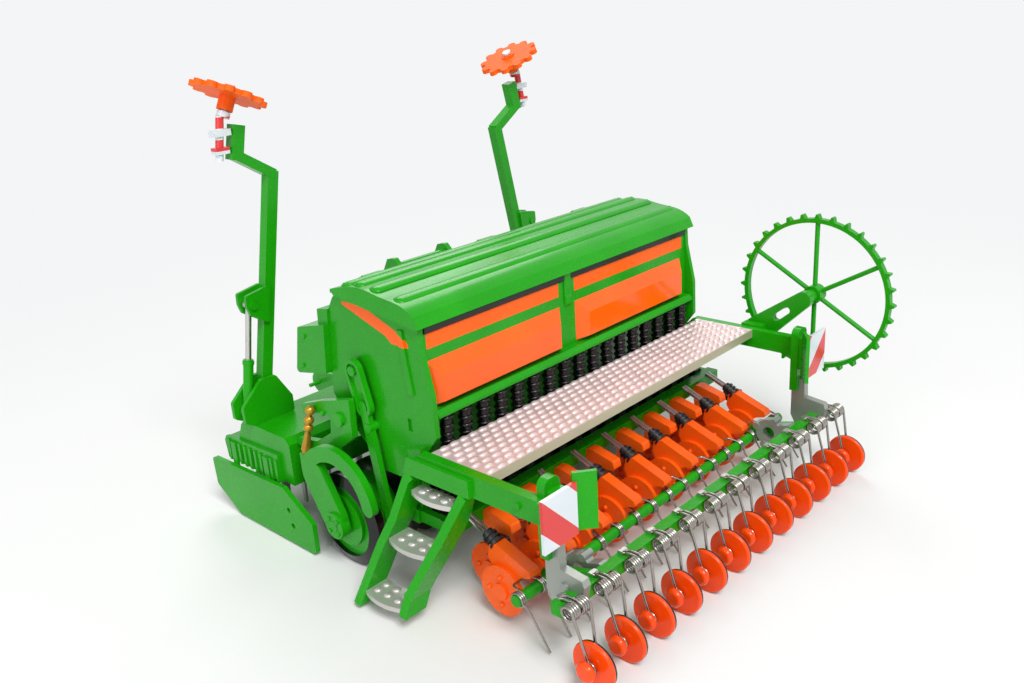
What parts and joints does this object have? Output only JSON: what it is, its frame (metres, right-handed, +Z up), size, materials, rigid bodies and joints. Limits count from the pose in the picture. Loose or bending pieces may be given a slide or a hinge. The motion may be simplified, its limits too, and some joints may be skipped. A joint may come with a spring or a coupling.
{
  "type": "seed drill combination scale model",
  "caption": "Scale model of a mounted seed drill on a power harrow with packer roller, hopper, row markers, spur wheel and a harrow with roller discs.",
  "frame": {"origin": "centre of the model's footprint box, on the floor it stands on", "axes": "+Z up, +Y the way the machine travels, +X to the machine's right; the hopper opens upwards and the roller discs trail at -Y"},
  "size_m": [0.1056, 0.1106, 0.0887],
  "materials": {
    "green_paint": "gloss",
    "black_plastic": "satin",
    "gold_metal": "satin",
    "orange_plastic": "gloss",
    "red_orange_plastic": "gloss",
    "silver_plastic": "polished",
    "grey_metal": "cast",
    "striped_plastic": "gloss"
  },
  "bodies": {
    "machine": {"board_bracket_right": "green_paint", "coulter_boots": "black_plastic", "coulter_rails": "green_paint", "coulter_rods": "black_plastic", "coulters_front": "orange_plastic", "coulters_rear": "orange_plastic", "cultivator_trough": "green_paint", "depth_crank": "gold_metal", "disc_springs": "silver_plastic", "drive_housing": "green_paint", "gearbox": "green_paint", "harrow_arms": "grey_metal", "harrow_front_tube": "green_paint", "harrow_rear_tube": "green_paint", "harrow_tines": "silver_plastic", "headstock": "green_paint", "hopper": "green_paint", "hopper_carriers": "green_paint", "hopper_struts": "green_paint", "hose_channel": "green_paint", "lid_hinge_lugs": "green_paint", "loading_board": "silver_plastic", "marker_brackets": "green_paint", "metering_covers": "orange_plastic", "roller_frame": "green_paint", "seed_hoses": "black_plastic", "side_plates": "green_paint", "spur_wheel_bracket": "green_paint", "step_frame": "green_paint", "step_treads": "silver_plastic", "tine_rotors": "silver_plastic", "warning_boards": "striped_plastic", "warning_brackets": "green_paint"},
    "lid": {"hopper_lid": "green_paint"},
    "packer_roller": {"roller_drum": "green_paint", "roller_rings": "black_plastic"},
    "roller_disc_01_body": {"roller_disc_01": "red_orange_plastic"},
    "roller_disc_02_body": {"roller_disc_02": "red_orange_plastic"},
    "roller_disc_03_body": {"roller_disc_03": "red_orange_plastic"},
    "roller_disc_04_body": {"roller_disc_04": "red_orange_plastic"},
    "roller_disc_05_body": {"roller_disc_05": "red_orange_plastic"},
    "roller_disc_06_body": {"roller_disc_06": "red_orange_plastic"},
    "roller_disc_07_body": {"roller_disc_07": "red_orange_plastic"},
    "roller_disc_08_body": {"roller_disc_08": "red_orange_plastic"},
    "roller_disc_09_body": {"roller_disc_09": "red_orange_plastic"},
    "roller_disc_10_body": {"roller_disc_10": "red_orange_plastic"},
    "roller_disc_11_body": {"roller_disc_11": "red_orange_plastic"},
    "roller_disc_12_body": {"roller_disc_12": "red_orange_plastic"},
    "spur_swing": {"spur_wheel_arm": "green_paint"},
    "spur_wheel_body": {"spur_wheel": "green_paint"},
    "marker_left": {"marker_arm_left": "green_paint", "marker_rod_left": "striped_plastic"},
    "marker_left_wheel": {"marker_disc_left": "orange_plastic"},
    "marker_left_cylinder": {"marker_barrel_left": "green_paint"},
    "marker_left_ram": {"marker_piston_left": "silver_plastic"},
    "marker_right": {"marker_arm_right": "green_paint", "marker_rod_right": "striped_plastic"},
    "marker_right_wheel": {"marker_disc_right": "orange_plastic"},
    "marker_right_cylinder": {"marker_barrel_right": "green_paint"},
    "marker_right_ram": {"marker_piston_right": "silver_plastic"}
  },
  "joints": [
    {"name": "lid_hinge", "type": "hinge", "parent": "machine", "child": "lid", "pos_m": [0, 0.0092, 0.0522], "axis": [-1, 0, 0], "range_deg": [0, 80]},
    {"name": "roller_spin", "type": "hinge", "parent": "machine", "child": "packer_roller", "pos_m": [0, 0.007, 0.0091], "axis": [1, 0, 0], "continuous": true},
    {"name": "roller_disc_01_spin", "type": "hinge", "parent": "machine", "child": "roller_disc_01_body", "pos_m": [-0.04297, -0.0503, 0.00396], "axis": [1, 0, 0], "continuous": true},
    {"name": "roller_disc_02_spin", "type": "hinge", "parent": "machine", "child": "roller_disc_02_body", "pos_m": [-0.03516, -0.0503, 0.00396], "axis": [1, 0, 0], "continuous": true},
    {"name": "roller_disc_03_spin", "type": "hinge", "parent": "machine", "child": "roller_disc_03_body", "pos_m": [-0.02734, -0.0503, 0.00396], "axis": [1, 0, 0], "continuous": true},
    {"name": "roller_disc_04_spin", "type": "hinge", "parent": "machine", "child": "roller_disc_04_body", "pos_m": [-0.01953, -0.0503, 0.00396], "axis": [1, 0, 0], "continuous": true},
    {"name": "roller_disc_05_spin", "type": "hinge", "parent": "machine", "child": "roller_disc_05_body", "pos_m": [-0.01172, -0.0503, 0.00396], "axis": [1, 0, 0], "continuous": true},
    {"name": "roller_disc_06_spin", "type": "hinge", "parent": "machine", "child": "roller_disc_06_body", "pos_m": [-0.00391, -0.0503, 0.00396], "axis": [1, 0, 0], "continuous": true},
    {"name": "roller_disc_07_spin", "type": "hinge", "parent": "machine", "child": "roller_disc_07_body", "pos_m": [0.00391, -0.0503, 0.00396], "axis": [1, 0, 0], "continuous": true},
    {"name": "roller_disc_08_spin", "type": "hinge", "parent": "machine", "child": "roller_disc_08_body", "pos_m": [0.01172, -0.0503, 0.00396], "axis": [1, 0, 0], "continuous": true},
    {"name": "roller_disc_09_spin", "type": "hinge", "parent": "machine", "child": "roller_disc_09_body", "pos_m": [0.01953, -0.0503, 0.00396], "axis": [1, 0, 0], "continuous": true},
    {"name": "roller_disc_10_spin", "type": "hinge", "parent": "machine", "child": "roller_disc_10_body", "pos_m": [0.02734, -0.0503, 0.00396], "axis": [1, 0, 0], "continuous": true},
    {"name": "roller_disc_11_spin", "type": "hinge", "parent": "machine", "child": "roller_disc_11_body", "pos_m": [0.03516, -0.0503, 0.00396], "axis": [1, 0, 0], "continuous": true},
    {"name": "roller_disc_12_spin", "type": "hinge", "parent": "machine", "child": "roller_disc_12_body", "pos_m": [0.04297, -0.0503, 0.00396], "axis": [1, 0, 0], "continuous": true},
    {"name": "spur_wheel_lower", "type": "hinge", "parent": "machine", "child": "spur_swing", "pos_m": [0.0459, -0.0276, 0.0266], "axis": [1, 0, 0], "range_deg": [0, 75]},
    {"name": "spur_wheel_spin", "type": "hinge", "parent": "spur_swing", "child": "spur_wheel_body", "pos_m": [0.05079, -0.038, 0.0351], "axis": [1, 0, 0], "continuous": true},
    {"name": "marker_left_fold", "type": "hinge", "parent": "machine", "child": "marker_left", "pos_m": [-0.0402, 0.035, 0.028], "axis": [0, -1, 0], "range_deg": [0, 110]},
    {"name": "marker_left_wheel_spin", "type": "hinge", "parent": "marker_left", "child": "marker_left_wheel", "pos_m": [-0.0378, 0.035, 0.0852], "axis": [0.4384, 0, 0.8988], "continuous": true},
    {"name": "marker_left_cylinder_tilt", "type": "hinge", "parent": "machine", "child": "marker_left_cylinder", "pos_m": [-0.0446, 0.035, 0.024], "axis": [0, -1, 0], "range_deg": [0, 112.04]},
    {"name": "marker_left_ram_slide", "type": "slide", "parent": "marker_left_cylinder", "child": "marker_left_ram", "axis": [0.1777, 0, 0.9841], "range_m": [-0.00974, 0]},
    {"name": "marker_right_fold", "type": "hinge", "parent": "machine", "child": "marker_right", "pos_m": [0.0402, 0.035, 0.028], "axis": [0, 1, 0], "range_deg": [0, 110]},
    {"name": "marker_right_wheel_spin", "type": "hinge", "parent": "marker_right", "child": "marker_right_wheel", "pos_m": [0.0378, 0.035, 0.0852], "axis": [-0.4384, 0, 0.8988], "continuous": true},
    {"name": "marker_right_cylinder_tilt", "type": "hinge", "parent": "machine", "child": "marker_right_cylinder", "pos_m": [0.0446, 0.035, 0.024], "axis": [0, 1, 0], "range_deg": [0, 112.04]},
    {"name": "marker_right_ram_slide", "type": "slide", "parent": "marker_right_cylinder", "child": "marker_right_ram", "axis": [-0.1777, 0, 0.9841], "range_m": [-0.00974, 0]}
  ],
  "couplings": [
    {"joint": "marker_left_cylinder_tilt", "follows": "marker_left_fold", "ratio": 1.018},
    {"joint": "marker_left_ram_slide", "follows": "marker_left_fold", "m_per_rad": -0.0050657},
    {"joint": "marker_right_cylinder_tilt", "follows": "marker_right_fold", "ratio": 1.018},
    {"joint": "marker_right_ram_slide", "follows": "marker_right_fold", "m_per_rad": -0.0050657}
  ]
}
